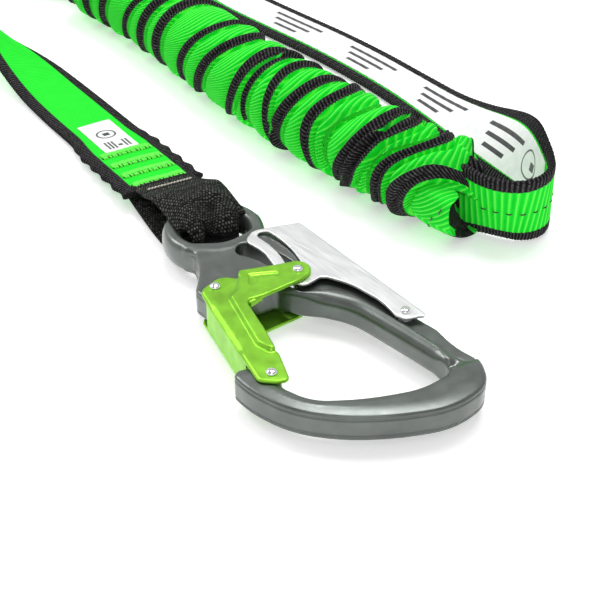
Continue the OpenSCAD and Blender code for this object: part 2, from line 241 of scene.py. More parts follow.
def tape_material(name, rib_bump=0.0, contrast=1.0):
    """Woven tape: green face with charcoal edges. Attribute edge is the distance in millimetres from the
    green's border, above 0 in the charcoal; rib counts the green's ribs and cross the charcoal's strokes."""
    g = Graph(name, (0, 0.75, 0.03), 0, 0.6)
    uv = g.weave()
    wave = g.math("SINE", g.times(g.value("rib"), 2 * math.pi))
    stroke = g.math("SINE", g.times(g.value("cross"), 2 * math.pi))
    patch = g.noise(uv, 0.12, 3)
    yarn = g.noise(g.weave((1.6, 0.35, 1)), 2.2, 2)
    # painted shade and highlight: the green is darker in the rib valleys and lighter on the crests, with a
    # painted highlight line along each crest
    green = g.blend(g.ramp(wave, -0.9, 0.95, 0.5 - 0.5 * contrast, 0.5 + 0.5 * contrast),
                    (0.0, 0.62, 0.02), (0.02, 0.9, 0.04))
    green = g.blend(g.ramp(wave, 0.55, 0.98, 0, 0.75 * contrast), green, (0.2, 1.0, 0.1))
    green = g.blend(g.ramp(patch, 0.35, 0.7, 0, 0.3), green, (0.03, 0.92, 0.05))
    green = g.blend(g.ramp(yarn, 0.35, 0.75, 0, 0.22), green, (0.0, 0.64, 0.02))
    speck = g.noise(g.weave((1.1, 1.1, 1)), 1.15, 2)
    dash = g.times(g.ramp(speck, 0.4, 0.6), g.ramp(stroke, -0.1, 0.7))
    coal = g.blend(g.ramp(stroke, -0.6, 0.6), (0.004, 0.0035, 0.004), (0.018, 0.016, 0.018))
    coal = g.blend(dash, coal, (0.095, 0.088, 0.095))
    border = g.ramp(g.math("ADD", g.value("edge"), g.times(stroke, 0.14)), -0.12, 0.12)
    g.paint(border, green, coal)
    fuzz = g.noise(uv, 3.2, 3)
    strokes = g.times(g.times(stroke, border), 0.55)
    ribs = g.times(g.times(wave, g.math("SUBTRACT", 1.0, border)), rib_bump)
    fine = g.math("ADD", g.times(fuzz, 0.5), g.times(speck, 0.4))
    g.bump(g.math("ADD", fine, g.math("ADD", strokes, ribs)), 0.00025, 0.7)
    g.set("Roughness", 0.75)
    g.set("Specular IOR Level", 0.12)
    return g.material


def black_webbing(name):
    """Black woven webbing: small bright yarn floats in rows; attribute hollow dims them as painted shade in
    the loop's crease and where it turns under the ring.
    """
    g = Graph(name, (0.012, 0.012, 0.013), 0, 0.5)
    brick = g.node("TexBrick", {
        "Vector": g.weave(), "Color1": (1, 1, 1, 1), "Color2": (0.55, 0.55, 0.55, 1), "Mortar": (0, 0, 0, 1),
        "Scale": 1.0, "Mortar Size": 0.34, "Mortar Smooth": 0.6, "Brick Width": 1.2, "Row Height": 1.3})
    floats = brick.outputs["Color"]
    spots = g.times(floats, g.ramp(g.noise(g.weave(), 0.7, 2), 0.36, 0.62))
    # painted shade: the floats fade to black where the attribute hollow is high
    spots = g.times(spots, g.math("SUBTRACT", 1.0, g.value("painted_loop_shade")))
    g.paint(spots, (0.002, 0.002, 0.002), (0.16, 0.16, 0.15))
    g.bump(g.math("ADD", floats, g.times(g.noise(g.weave((0.8, 3, 1)), 2, 2), 0.5)), 0.00035, 0.9)
    g.set("Roughness", 0.7)
    g.set("Specular IOR Level", 0.12)
    return g.material


def braid(name):
    """Braided cover of an elastic cord."""
    g = Graph(name, (0.03, 0.03, 0.032), 0, 0.55)
    checks = g.node("TexChecker", {"Vector": g.weave((1, 0.6, 1)), "Color1": (0.02, 0.02, 0.022, 1),
                                   "Color2": (0.07, 0.07, 0.072, 1), "Scale": 1.0})
    g.link(checks.outputs["Color"], "Base Color")
    g.bump(g.noise(g.weave(), 2.5, 2), 0.0002, 0.5)
    return g.material


# Bars and blocks printed on the labels: (across, along, half width, half length) in millimetres.
ID_PRINT = [
    (0, 21, 1.6, 1.6), *((a, 7.5, 0.45, 4.2) for a in (-5.5, -3.8, 1.4, 3.1, 4.8)), (-1.2, 6, 1.0, 1.0),
]
LOAD_PRINT = [
    (0, 17, 2, 2),
    *((a, 50 + 62 * k, 1.1, 9 + 5 * b) for k in range(4) for b, a in enumerate((-5.5, 0, 5.5))),
]


def label_cloth(name, ring, bars):
    """White satin label with a plain ring, as (across, along, radius), and plain bars."""
    g = Graph(name, (0.86, 0.86, 0.87), 0, 0.42)
    split = g.node("SeparateXYZ", {"Vector": g.weave()})
    across, along = split.outputs["X"], split.outputs["Y"]
    dx, dy = g.math("SUBTRACT", across, ring[0]), g.math("SUBTRACT", along, ring[1])
    radius = g.math("SQRT", g.math("ADD", g.times(dx, dx), g.times(dy, dy)))
    ink = g.ramp(g.math("ABSOLUTE", g.math("SUBTRACT", radius, ring[2])), 0.35, 0.5, 1, 0)
    for a, b, half_a, half_b in bars:
        in_a = g.math("SUBTRACT", g.math("ABSOLUTE", g.math("SUBTRACT", across, a)), half_a)
        in_b = g.math("SUBTRACT", g.math("ABSOLUTE", g.math("SUBTRACT", along, b)), half_b)
        ink = g.math("MAXIMUM", ink, g.ramp(g.math("MAXIMUM", in_a, in_b), -0.06, 0.06, 1, 0))
    cloud = g.blend(g.ramp(g.noise(g.weave(), 0.25, 2), 0.3, 0.7), (0.85, 0.83, 0.86), (0.93, 0.91, 0.93))
    g.paint(ink, cloud, (0.03, 0.03, 0.034))
    g.bump(g.noise(g.weave((3, 1, 1)), 2.4, 2), 0.00006, 0.5)
    g.set("Sheen Weight", 0.1)
    return g.material


def thread(name, color, dark):
    g = Graph(name, color, 0, 0.5)
    twist = g.noise(g.place(), 2200, 2)
    g.paint(g.ramp(twist, 0.3, 0.7), dark, color)
    g.bump(twist, 0.0001, 0.6)
    g.set("Sheen Weight", 0.2)
    return g.material


# ---------------- routes of the webbing, in millimetres

# Where each connector's eye lies and how far it is turned; then the straps' centre lines, each point with
# the strap's roll in degrees: 0 lies flat, 90 stands on edge.
ANCHOR, TOOL = (0, 0, 0), (-320, 176, 180)
LEAD_ROUTE = [
    (-49.9, 10.6, 8.4, 0), (-74, 15, 6.4, 0), (-98, 19.4, 4.4, 0), (-122, 23.8, 2.6, 0),
    (-148, 27, 2.4, 0), (-175, 30, 3.4, 4), (-205, 33, 7.4, 18), (-232, 35.4, 13.2, 42),
    (-256, 37.8, 16.8, 68), (-278, 42, 17.6, 86), (-298, 50, 17.6, 90), (-310, 62, 17.6, 90),
    (-314, 76, 17.6, 90), (-310, 90, 17.6, 90), (-298, 101, 17.6, 90), (-280, 107.6, 17.6, 90),
    (-262, 109.6, 17.6, 90),
]
GATHER_ROUTE = [
    (-261.6, 109.7, 20.2, 0), (-226, 109.6, 20.2, 0), (-190, 107.4, 20.2, 0), (-152, 102.6, 20.2, 0),
    (-114, 97, 20.2, 0), (-76, 92.4, 20.2, 0), (-38, 90, 20.2, 0), (0, 89.4, 20.2, 0),
    (30, 90, 20.2, 0), (53, 91.6, 20.2, 0),
]
TAIL_ROUTE = [
    (53.4, 91.7, 17.6, 98), (62, 93.2, 17.6, 106), (70, 95.8, 17.6, 108), (76.4, 100.8, 17.6, 105),
    (79, 108.6, 17.6, 98), (77.4, 117, 17.6, 91), (71, 125, 17.5, 88), (60.4, 132.2, 17.3, 93),
    (47, 139, 16.2, 107), (30, 146, 13.6, 128), (10, 153.2, 9.6, 149), (-10, 159.6, 6, 165),
    (-34, 165.8, 3.2, 176), (-62, 170.8, 2.4, 180), (-94, 174.2, 2.4, 180), (-128, 176, 2.4, 180),
    (-162, 176, 2.4, 180), (-196, 176, 2.6, 180), (-220, 176, 4.4, 180), (-244, 176, 6.4, 180),
    (-269, 176, 8.4, 180),
]


def unit(v):
    return v / np.linalg.norm(v, axis=-1, keepdims=True)


def fabric(across, along):
    """Points' places on the fabric, for its material's weave."""
    return np.stack(np.broadcast_arrays(across, along, 0.0), axis=-1)


def smooth_route(points, step):
    """A Catmull-Rom curve through the points, at even steps of its own length; any extra columns go along."""
    p = np.asarray(points, float)
    p = np.vstack([2 * p[0] - p[1], p, 2 * p[-1] - p[-2]])
    fine = []
    for i in range(1, len(p) - 2):
        t = np.linspace(0, 1, 40, endpoint=False)[:, None]
        a, b, c, d = p[i - 1], p[i], p[i + 1], p[i + 2]
        fine.append(0.5 * (2 * b + (c - a) * t + (2 * a - 5 * b + 4 * c - d) * t ** 2
                           + (3 * b - a - 3 * c + d) * t ** 3))
    fine = np.vstack([*fine, p[-2:-1]])
    run = np.concatenate([[0], np.cumsum(np.linalg.norm(np.diff(fine[:, :3], axis=0), axis=1))])
    s = np.linspace(0, run[-1], max(2, int(round(run[-1] / step)) + 1))
    return s, np.column_stack([np.interp(s, run, fine[:, k]) for k in range(p.shape[1])])


def frames(route, step):
    """Along a route: distance, centre, and the unit vectors across the tape and out of its face."""
    s, p = smooth_route(route, step)
    h = unit(np.gradient(p[:, :2], axis=0))
    n = np.column_stack([-h[:, 1], h[:, 0], np.zeros(len(h))])
    up = np.array([0.0, 0, 1])
    q = np.radians(p[:, 3])[:, None]
    return s, p[:, :3], np.cos(q) * n + np.sin(q) * up, -np.sin(q) * n + np.cos(q) * up


def metres(route):
    return [tuple(c * MM for c in q[:3]) for q in route]


def route_length(route):
    return smooth_route(route, 1.0)[0][-1] * MM


def grid_quads(rows, cols):
    """Quads between rings of points, each ring closed."""
    i = np.arange(rows - 1)[:, None]
    j = np.arange(cols)[None, :]
    k = (j + 1) % cols
    q = np.stack([i * cols + j, i * cols + k, (i + 1) * cols + k, (i + 1) * cols + j], axis=-1)
    return q.reshape(-1, 4)


def tube_quads(rows, cols):
    """Quads of a tube through rings of points, with a small fan of quads over each end."""
    quads = [grid_quads(rows, cols)]
    for row, way in ((0, 1), (rows - 1, -1)):
        at = row * cols
        fan = [(at + j, at + cols - 1 - j, at + cols - 2 - j, at + j + 1) for j in range(cols // 2 - 1)]
        quads.append(np.array(fan)[:, ::way])
    return np.vstack(quads)


def tube_obj(name, grid, attributes):
    """A closed tube through rings of points, (rows, cols, 3) in millimetres, with its points' values."""
    obj = quad_mesh(name, grid.reshape(-1, 3) * MM, tube_quads(*grid.shape[:2]))
    for key, values in attributes.items():
        point_values(obj, key, values)
    return obj


def squared_ring(n, across, out):
    """The n points of a circle, squared off by the two powers."""
    t = (np.arange(n) + 0.5) / n * 2 * np.pi
    return [np.sign(v) * np.abs(v) ** power for v, power in ((np.cos(t), across), (np.sin(t), out))]


STRAP_W, STRAP_T, RIM_T = 34.0, 3.0, 3.8
EDGE_W, STROKE = 5.2, 1.6


def tape(name, route, step, n, ribs, pitch, shape):
    """A flattened tube of webbing along a route, with thicker rims and cross ribs, ribs high and pitch apart.
    shape finishes each point's place across the strap, out of its face and from its edge."""
    s, c, across, face = frames(route, step)
    x, y = squared_ring(n, 0.55, 0.5)
    lip = np.clip((np.abs(x) - 0.62) / 0.3, 0, 1)
    thick = STRAP_T + (RIM_T - STRAP_T) * lip
    run, a, b = np.broadcast_arrays(s[:, None], STRAP_W / 2 * x, thick / 2 * y)
    edge = np.abs(a) - (STRAP_W / 2 - EDGE_W)
    selvedge = np.clip(edge, 0, 1)
    rib, stroke = run / pitch, run / STROKE
    b = b + ribs * np.sin(2 * np.pi * rib) * np.sign(b) * (0.5 + 0.5 * np.clip(-edge, 0, 1))
    b = b + 0.14 * selvedge * np.sin(2 * np.pi * stroke) * np.sign(b)
    a = a + 0.16 * selvedge * np.sin(2 * np.pi * stroke + 1.3) * np.sign(a)
    a, b, edge = shape(run, a, b, edge)
    grid = c[:, None] + a[..., None] * across[:, None] + b[..., None] * face[:, None]
    weave = fabric(a + 40 * (b < 0), run)
    return tube_obj(name, grid, {"edge": edge, "rib": rib, "cross": stroke, "weave": weave})


# ---------------- solid shapes from distance functions

def outline(corners, arc=7, flowing=1e9):
    """A closed path from corners (x, y, fillet radius), with a point every arc degrees of a fillet. From the
    radius called flowing up, a fillet is as wide as its sides allow."""
    pts = [np.array(c[:2], float) for c in corners]
    out = []
    for i, c in enumerate(corners):
        p0, p, p1 = pts[i - 1], pts[i], pts[(i + 1) % len(pts)]
        a, b = unit(p0 - p), unit(p1 - p)
        ang = math.acos(max(-1, min(1, float(a @ b))))
        room = 0.49 * min(np.linalg.norm(p0 - p), np.linalg.norm(p1 - p))
        t = room if c[2] >= flowing else min(c[2] / math.tan(ang / 2), room)
        rr = t * math.tan(ang / 2)
        m = p + unit(a + b) * rr / math.sin(ang / 2)
        s, e = p + a * t - m, p + b * t - m
        a0 = math.atan2(s[1], s[0])
        d = (math.atan2(e[1], e[0]) - a0 + math.pi) % (2 * math.pi) - math.pi
        n = max(1, math.ceil(abs(math.degrees(d)) / arc))
        out += [m + rr * np.array([math.cos(a0 + d * k / n), math.sin(a0 + d * k / n)]) for k in range(n + 1)]
    return np.array(out)


def path_distance(path, x, y, closed=True):
    """Distance to a path; inside a closed one it is negative."""
    best = np.full(np.broadcast(x, y).shape, 1e9)
    odd = np.zeros(best.shape, bool)
    for (ax, ay), (bx, by) in zip(path, np.roll(path, -1, axis=0) if closed else path[1:]):
        dx, dy = bx - ax, by - ay
        ll = dx * dx + dy * dy
        if ll < 1e-12:
            continue
        px, py = x - ax, y - ay
        t = np.clip((px * dx + py * dy) / ll, 0, 1)
        np.minimum(best, (px - t * dx) ** 2 + (py - t * dy) ** 2, out=best)
        if closed and ay != by:
            odd ^= ((y < ay) != (y < by)) & (px < dx / dy * py)
    best = np.sqrt(best)
    return np.where(odd, -best, best)


def both(a, b, r=0.0):
    """Intersection of two distances, its edge rounded by r."""
    if r <= 0:
        return np.maximum(a, b)
    a, b = a + r, b + r
    return np.hypot(np.maximum(a, 0), np.maximum(b, 0)) + np.minimum(np.maximum(a, b), 0) - r


def either(a, b, k=0.0):
    """Union of two distances, blended over k."""
    if k <= 0:
        return np.minimum(a, b)
    h = np.clip(0.5 + 0.5 * (b - a) / k, 0, 1)
    return b + (a - b) * h - k * h * (1 - h)


def cut(a, b, r=0.0):
    return both(a, -b, r)


def ramp(t):
    return 1 - (1 - np.clip(t, 0, 1)) ** 2


def round_over(t):
    return np.sqrt(np.clip(1 - (1 - np.clip(t, 0, 1)) ** 2, 0, 1))


def ease(t):
    t = np.clip(t, 0, 1)
    return t * t * (3 - 2 * t)


def surface(shape, low, high, step):
    """The surface where shape(x, y, z) is zero, as points and quads. Lengths are in millimetres."""
    axes = [np.arange(a, b + step, step) for a, b in zip(low, high)]
    f = np.ascontiguousarray(np.broadcast_to(shape(*np.ix_(*axes)), [len(a) for a in axes]))
    inside = f < 0
    cells = tuple(n - 1 for n in f.shape)
    count = np.zeros(cells)
    place = np.zeros(cells + (3,))

    def part(values, corner):
        return values[tuple(slice(k, k + n) for k, n in zip(corner, cells))]

    for axis in range(3):
        for u, v in ((0, 0), (0, 1), (1, 0), (1, 1)):
            start, end = np.roll([0, u, v], axis), np.roll([1, u, v], axis)
            f0, f1 = part(f, start), part(f, end)
            cross = part(inside, start) != part(inside, end)
            t = np.where(cross, f0 / np.where(cross, f0 - f1, 1), 0)
            count += cross
            for k in range(3):
                place[..., k] += np.where(cross, t if k == axis else start[k], 0)
    live = count > 0
    number = np.full(cells, -1)
    number[live] = np.arange(live.sum())
    p = (np.argwhere(live) + place[live] / count[live][:, None]) * step + np.array([a[0] for a in axes])
    return settled(p, shape, step), cell_quads(inside, number)


def cell_quads(inside, number):
    """A quad of the four cells round each grid edge that the surface cuts, turned to face out."""
    quads = []
    for axis in range(3):
        b, c = (axis + 1) % 3, (axis + 2) % 3
        lo, hi = [slice(None)] * 3, [slice(None)] * 3
        lo[axis], hi[axis] = slice(0, -1), slice(1, None)
        for k in (b, c):
            lo[k] = hi[k] = slice(1, -1)
        s0, s1 = inside[tuple(lo)], inside[tuple(hi)]
        at = np.argwhere(s0 != s1)
        at[:, [b, c]] += 1
        ring = []
        for db, dc in ((-1, -1), (0, -1), (0, 0), (-1, 0)):
            q = at.copy()
            q[:, b] += db
            q[:, c] += dc
            ring.append(number[tuple(q.T)])
        q = np.stack(ring, axis=1)
        quads.append(np.where(s0[s0 != s1][:, None], q, q[:, ::-1]))
    return np.vstack(quads)


def settled(p, shape, step, e=0.02):
    """Points near a surface, moved onto it by two careful Newton steps."""
    for _ in range(2):
        f = shape(*p.T)
        slope = np.stack([shape(*(p + e * axis).T) - f for axis in np.eye(3)], axis=1) / e
        move = f[:, None] * slope / np.maximum((slope * slope).sum(1), 0.05)[:, None]
        far = np.linalg.norm(move, axis=1)[:, None]
        p = p - move * np.minimum(1, 0.6 * step / np.maximum(far, 1e-9))
    return p


def turned_into(place, turn, points):
    """Points in millimetres about an eye, turned with their connector or strap and moved to where it lies."""
    ang = math.radians(place[2] + turn)
    c, s = math.cos(ang), math.sin(ang)
    x, y, z = points[..., 0], points[..., 1], points[..., 2]
    return np.stack([x * c - y * s + place[0], x * s + y * c + place[1], z + REST_Z], axis=-1)


def put(name, points, quads, place, body, slot, node, material, inside=0.0):
    """A piece of a connector, from its points about the eye."""
    obj = quad_mesh(name, turned_into(place, 0, points) * MM, quads)
    point_values(obj, "inside", np.broadcast_to(inside, len(points)))
    obj.data.materials.append(material)
    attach(obj, body)
    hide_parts(node)


# ---------------- the connectors

# Millimetres about the eye, with the crown along +X. The outlines' corners are (x, y, fillet radius).
REST_Z, BODY_HALF, EYE_R = 10.0, 6.0, 13.6
GATE_PIVOT, LINK_PIN = np.array([38, -28.5]), np.array([51, 1.5])
NOSE_PIN, LEVER_PIVOT = np.array([92, -46]), np.array([96, 14.8])
PIN_HOLE = 1.8
GATE_SWING, LEVER_RATIO = 51, 0.137
SLOT_R, SLOT_W, SLOT_ARC = 30.8, 9.2, (66, 118)
INNER_EDGE = [
    (43.6, -27, 3), (50, -16, 6), (51, -9.5, 3), (57, -6.8, 6), (67, -1, 14), (78, 4.6, 20), (98, 5.8, 40),
    (127, 6.3, 6.5), (130, 1.5, 5), (129.6, -11, 24), (121, -29, 30), (110, -43.2, 16), (98, -46.2, 5),
    (95, -43.8, 2),
]
OPENING = [(43.4, -34, 1), *INNER_EDGE, (83, -46.2, 1)]
HOOK = [
    (5, -21, 8), (9.5, -17.8, 7), (21, -22.8, 14), (32.5, -34, 5.2), (43.4, -34, 5.2), *INNER_EDGE,
    (83, -46.2, 3), (79.5, -55, 4), (92, -56.2, 14), (109, -52.8, 18), (123, -42.8, 30), (135, -28, 34),
    (144.8, -9, 26), (143.4, 9, 14), (132, 17, 12), (120, 16, 14), (109, 18.6, 8), (98, 18.2, 4),
    (60, 16.8, 30), (34, 15.8, 24), (16, 14.4, 8), (3, 20.8, 2),
]
FLOOR = [
    (50, -5, 3), (59, -3.6, 3), (66, 7.4, 10), (75, 10.6, 14), (101, 11.6, 20), (116, 11.4, 10),
    (124, 10.8, 3), (130, 12, 3), (131, 24, 3), (60, 24, 6), (49, 9, 6),
]
LEVER = [
    (15.6, 8, 6), (23.5, 26.6, 2.2), (100.8, 19.9, 1), (103, 18.6, 0.7), (101.4, 16.4, 2.2),
    (99.6, 11.6, 3.2), (95.2, 10.4, 3.2), (86, 13, 26), (70, 12.2, 28), (60.2, 8.3, 3), (58.6, 6.5, 2),
    (59, -2, 4), (51, -5.8, 5), (44, -2.8, 6), (30, 1.6, 20), (19.8, 0.6, 4.5),
]
GATE_LOW = [
    (36.2, -34.5, 5.5), (92, -52.2, 4), (97.2, -47.4, 6), (98.9, -43.4, 3), (84, -36.2, 3), (80, -39.4, 3),
    (51, -28.8, 3), (47.4, -20, 3), (40.6, -17.6, 2), (33.4, -22.3, 5.5),
]
GATE_HIGH = [
    (76.5, -39.8, 2), (82.5, -38.8, 2), (83.4, -36.8, 1.5), (72, -32.4, 30), (54, -26.4, 2.6),
    (55.8, -19.5, 4), (57, -2, 12), (54.8, 6.8, 5.2), (46.4, 6.8, 5.2), (43.2, -2, 20), (36.6, -16.2, 1.5),
    (40, -19, 2.5), (45.6, -24.6, 2.5), (47.8, -29.4, 2.5),
]
GATE_TAB = [(54.0, -26.2, 0.3), (56.0, -25.6, 0.3), (55.3, -19.0, 0.3), (53.0, -19.4, 0.3)]
GATE_WEB, GATE_BEND = [(44, -37.0), (80, -48.4)], [(33, -33.6), (94, -53.0)]
LEVER_WEB, LEVER_BEND = [(26, 25.8), (94, 20.0)], [(24, 26.6), (101, 20.0)]
PRESSED_MARK = [(46.5, -17.6), (42.7, -14.8), (47.4, -7.0)]
RIVETS = (  # node, place, seat of its head, body
    ("gate_pivot_rivet", GATE_PIVOT, 7.7, "connector"), ("gate_link_rivet", LINK_PIN, 9.1, "gate_arm"),
    ("gate_nose_rivet", NOSE_PIN, 7.7, "gate_arm"), ("lever_pivot_rivet", LEVER_PIVOT, 7.4, "connector"),
)


def turned(p, a):
    c, s = math.cos(math.radians(a)), math.sin(math.radians(a))
    return np.array([p[0] * c - p[1] * s, p[0] * s + p[1] * c])


def near(x, y, pin, radius):
    """Distance to a round hole about a pin."""
    return np.hypot(x - pin[0], y - pin[1]) - radius


def line_distance(line, x, y):
    return path_distance(np.array(line), x, y, False)


def hook_shape():
    """The forged body: a plate with rounded rims and a sunk floor, joined to the eye's round ring."""
    hook, opening, floor = outline(HOOK, 4, 14), outline(OPENING, 4, 14), outline(FLOOR)
    turn = np.linspace(*np.radians(SLOT_ARC), 14)
    link_slot = GATE_PIVOT + SLOT_R * np.column_stack([np.cos(turn), np.sin(turn)])
    nose_slot = [NOSE_PIN, NOSE_PIN + unit(turned(NOSE_PIN - GATE_PIVOT, 90)) * 9]

    def top_face(x, y, d, inner):
        """Height of the plate's face: low rims by the opening, a chamfer outside, the floor and a dent."""
        outer = np.where(inner + d < 0.8, 99.0, -d)
        spine = ease((x - 60) / 8) * ease((124 - x) / 6) * (y > -12)
        low, wide = 3.4 - 2.2 * spine, 3.6 + 1.6 * spine
        top = low + (BODY_HALF - low) * round_over((inner + 0.3) / wide)
        top = np.minimum(top, 5.1 + 0.9 * ramp(outer / 6))
        bed = path_distance(floor, x, y)
        top = np.minimum(top, 4.4 + 1.6 * round_over(bed / (2.6 + 5 * ease((x - 119) / 8))))
        return top - 2.0 * np.exp(-((x - 127.6) / 2.0) ** 2 - ((y - 7.6) / 2.8) ** 2), outer

    def shape(x, y, z):
        a = np.abs(z)
        d = path_distance(hook, x, y)
        inner = path_distance(opening, x, y)
        top, outer = top_face(x, y, d, inner)
        crease = np.where(inner > 5, np.hypot(outer, a - 3.6) - 0.5, 9.0)
        plate = cut(both(d, a - top, 0.9), crease, 0.15)
        rho = np.hypot(x, y)
        plate = both(plate, EYE_R + 3 - 2.9 * ease((0.94 * x - 0.33 * y - 8) / 5) - rho, 0.5)
        ring = ((np.abs((rho - 17.4) / 3.8) ** 2.5 + (a / BODY_HALF) ** 2.5) ** 0.4 - 1) * 3.8
        f = either(plate, ring, 1.2)
        f = cut(f, line_distance(link_slot, x, y) - SLOT_W / 2, 0.6)
        f = cut(f, line_distance(nose_slot, x, y) - 2.0)
        for pin, pocket, floor_z in ((GATE_PIVOT, 3.5, 2), (LEVER_PIVOT, 2.9, 3.6)):
            f = cut(f, near(x, y, pin, PIN_HOLE))
            f = cut(f, np.maximum(near(x, y, pin, pocket), floor_z - z))
        return f
    return shape


def gate_shape():
    """The pressed gate: two plates with a raised arm, the web that joins them and the stop tab."""
    low, high, tab = outline(GATE_LOW), outline(GATE_HIGH), outline(GATE_TAB)

    def shape(x, y, z):
        a = np.abs(z)
        dl, dh = path_distance(low, x, y), path_distance(high, x, y)
        d = either(dl, dh, 0.6)
        base = 6.2 + 1.5 * ease((0.8 - dh + 3 * np.maximum(dl, 0)) / 1.9)
        skin = base + 1.5 - 0.5 * ease((1.5 - line_distance(PRESSED_MARK, x, y)) / 0.9)
        deep = ease((x - 45) / 4) * ease((78 - x) / 4)
        outside = line_distance(GATE_BEND, x, y) / (2.2 + 1.2 * deep)
        bend = (1.3 + 1.1 * deep) * (1 - round_over(outside)) * (dh > -3)
        rim = 0.55 * (1 - round_over(-d / 0.55))
        plate = both(d, np.maximum(a - skin + bend + rim, base - 0.8 * deep * bend - a), 0.12)
        wall = np.maximum(np.maximum(dl + 0.02, line_distance(GATE_WEB, x, y) - 1.5), a - 6.6)
        flap = both(path_distance(tab, x, y), np.maximum(a - 8.6, 6.25 - a), 0.3)
        f = either(either(plate, wall, 0.5), flap, 0.5)
        for pin in (GATE_PIVOT, LINK_PIN, NOSE_PIN):
            f = cut(f, near(x, y, pin, PIN_HOLE))
        return f
    return shape


def lever_shape():
    """The pressed lever: two plates with the link rivet's window, and the web along their back."""
    face = outline(LEVER, 5)
    window = []
    for a in np.linspace(0, GATE_SWING, 12):
        link = GATE_PIVOT + turned(LINK_PIN - GATE_PIVOT, a)
        window.append(LEVER_PIVOT + turned(link - LEVER_PIVOT, -LEVER_RATIO * a))

    def shape(x, y, z):
        a = np.abs(z)
        d = path_distance(face, x, y)
        bend = 0.9 * (1 - round_over(line_distance(LEVER_BEND, x, y) / 0.9))
        plate = both(d, np.maximum(a - 7.4 + bend, 6.2 - a), 0.14)
        plate = cut(plate, line_distance(window, x, y) - 3.05, 0.14)
        wall = np.maximum(np.maximum(d, line_distance(LEVER_WEB, x, y) - 0.75), a - 6.8)
        return cut(either(plate, wall, 0.4), near(x, y, LEVER_PIVOT, PIN_HOLE))
    return shape


def lathe(profile, n=48):
    """A turned solid from (radius, z) points, axis to axis, as points and quads."""
    profile = np.array(profile, float)
    t = np.arange(n) / n * 2 * np.pi
    p = np.stack([profile[:, :1] * np.cos(t), profile[:, :1] * np.sin(t),
                  np.broadcast_to(profile[:, 1:], (len(profile), n))], axis=-1)
    return p.reshape(-1, 3), grid_quads(len(profile), n)


def rivet(seat):
    """Rivet with a domed head over a small flange at the seat, and a flat tail on the rest plane."""
    turn = np.linspace(0, math.pi / 2, 14)
    dome = [(2.12 * math.cos(a) ** 0.9, seat + 0.25 + 1.15 * math.sin(a)) for a in turn[:-1]]
    dome.append((0.0, seat + 1.4))
    head = [(1.75, -seat - 0.02), (1.75, seat + 0.05), (2.1, seat + 0.06), (2.15, seat + 0.14)] + dome
    foot = -REST_Z
    tail = [(0.01, foot), (1.8, foot), (2.05, foot + 0.1), (2.15, foot + 0.35), (2.15, -seat - 0.05)]
    return lathe(tail + head)


def add_connector(prefix, place, parts, looks):
    pts = parts["lever"][0]
    # painted shade: the lever's faces between its plates, which little light reaches, get the steel's
    # near-black colour
    painted_shade_faces = (np.abs(pts[:, 2]) < 6.5) & (path_distance(outline(LEVER, 5), pts[:, 0], pts[:, 1]) < -0.3)
    for part, piece, body, slot, node, inside in (
            ("hook", "forged_body", "connector", "body_anodised", "hook_body", 0.0),
            ("gate", "pressed_gate", "gate_arm", "gate_anodised", "gate", 0.0),
            ("lever", "pressed_lever", "lever_arm", "lever_steel", "lever", painted_shade_faces)):
        put(f"{prefix}_{piece}", *parts[part], place, f"{prefix}_{body}", slot, f"{prefix}_{node}",
            looks[part], inside)
    for node, at, seat, body in RIVETS:
        pts, quads = rivet(seat)
        put(f"{prefix}_{node}_turned", pts + [*at, 0], quads, place, f"{prefix}_{body}", "rivet_steel",
            f"{prefix}_{node}", looks["rivet"])
    for node in ("gate_spring", "lever_spring"):
        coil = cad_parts[f"{prefix}_{node}"]
        coil.data.materials.clear()
        coil.data.materials.append(looks["spring"])


# ---------------- the soft parts

# Folds of the gathered webbing: where each crosses the front's foot, its middle, its shoulder and the top,
# then the width of its charcoal edge at the foot, the middle and the top. One with no width is all green.
FOLD_AT = (-0.75, 0.0, 0.7, 1.0)
FOLDS = [
    (-88, -78, -74, -72, 4, 5, 6), (-69, -68, -66, -65, 0, 2.4, 5), (-49.5, -50.2, -52, -53, 3, 3.2, 5),
    (-47, -43, -37, -34, 5, 6.6, 6), (-22, -22, -21, -17, 3.6, 5.2, 6), (-8, -12, -9, -3, 0, 0, 0),
    (-5, 2, 9, 12.5, 5, 7, 6), (-2.6, 7.4, 14.4, 22.5, 5, 5.8, 7.5), (11, 16, 24, 34, 0, 0, 0),
    (17.6, 22.6, 31, 42, 7, 6.6, 5.5), (32, 34, 48, 60, 7, 8.5, 7),
]
HIDDEN_FOLDS, HIDDEN_PITCH = 8, 20.5
GATHER_R, GATHER_START = 18.2, GATHER_ROUTE[0][0]
CURL_START, SLEEVE_END = 45.5, 62.0
# The stitches on the last fold, from (place along the tube, degrees round it) to the same.
FOLD_STITCHES = (
    ((49.0, 4), (48.5, -6)), ((47.5, -15), (47.1, -25)),
    ((46.3, -33), (45.9, -43)), ((45.3, -50), (44.8, -60)),
)


def all_folds():
    """The folds in view, and before them as many of the same kind as the rest of the webbing takes."""
    rest = []
    for k in range(HIDDEN_FOLDS):
        x = -107 - HIDDEN_PITCH * k + 3 * math.sin(2.1 * k)
        lean = 7 + 4 * math.sin(1.7 * k + 1)
        rest.append((x - lean, x, x + 0.8 * lean, x + 1.4 * lean, 4, 5.5 + math.sin(k), 6))
    return rest[::-1] + FOLDS


def fold_lines(u, back):
    """For each fold, where it crosses every angle of the tube, and how wide its charcoal edge is there."""
    at, wide = [], []
    for i, fold in enumerate(all_folds()):
        fit = np.polyval(np.polyfit(FOLD_AT, fold[:4], 3), np.maximum(u, -0.85))
        at.append(fit + back * 4.5 * np.sin(2.3 * i + 2.5 * u))
        wide.append(np.interp(u, (-0.75, 0, 1), fold[4:]) * (1 - 0.15 * back))
        if i:
            at[i] = np.maximum(at[i], at[i - 1] + 0.3 + (wide[i] + wide[i - 1]) * 0.4)
    return np.array(at), np.array(wide)


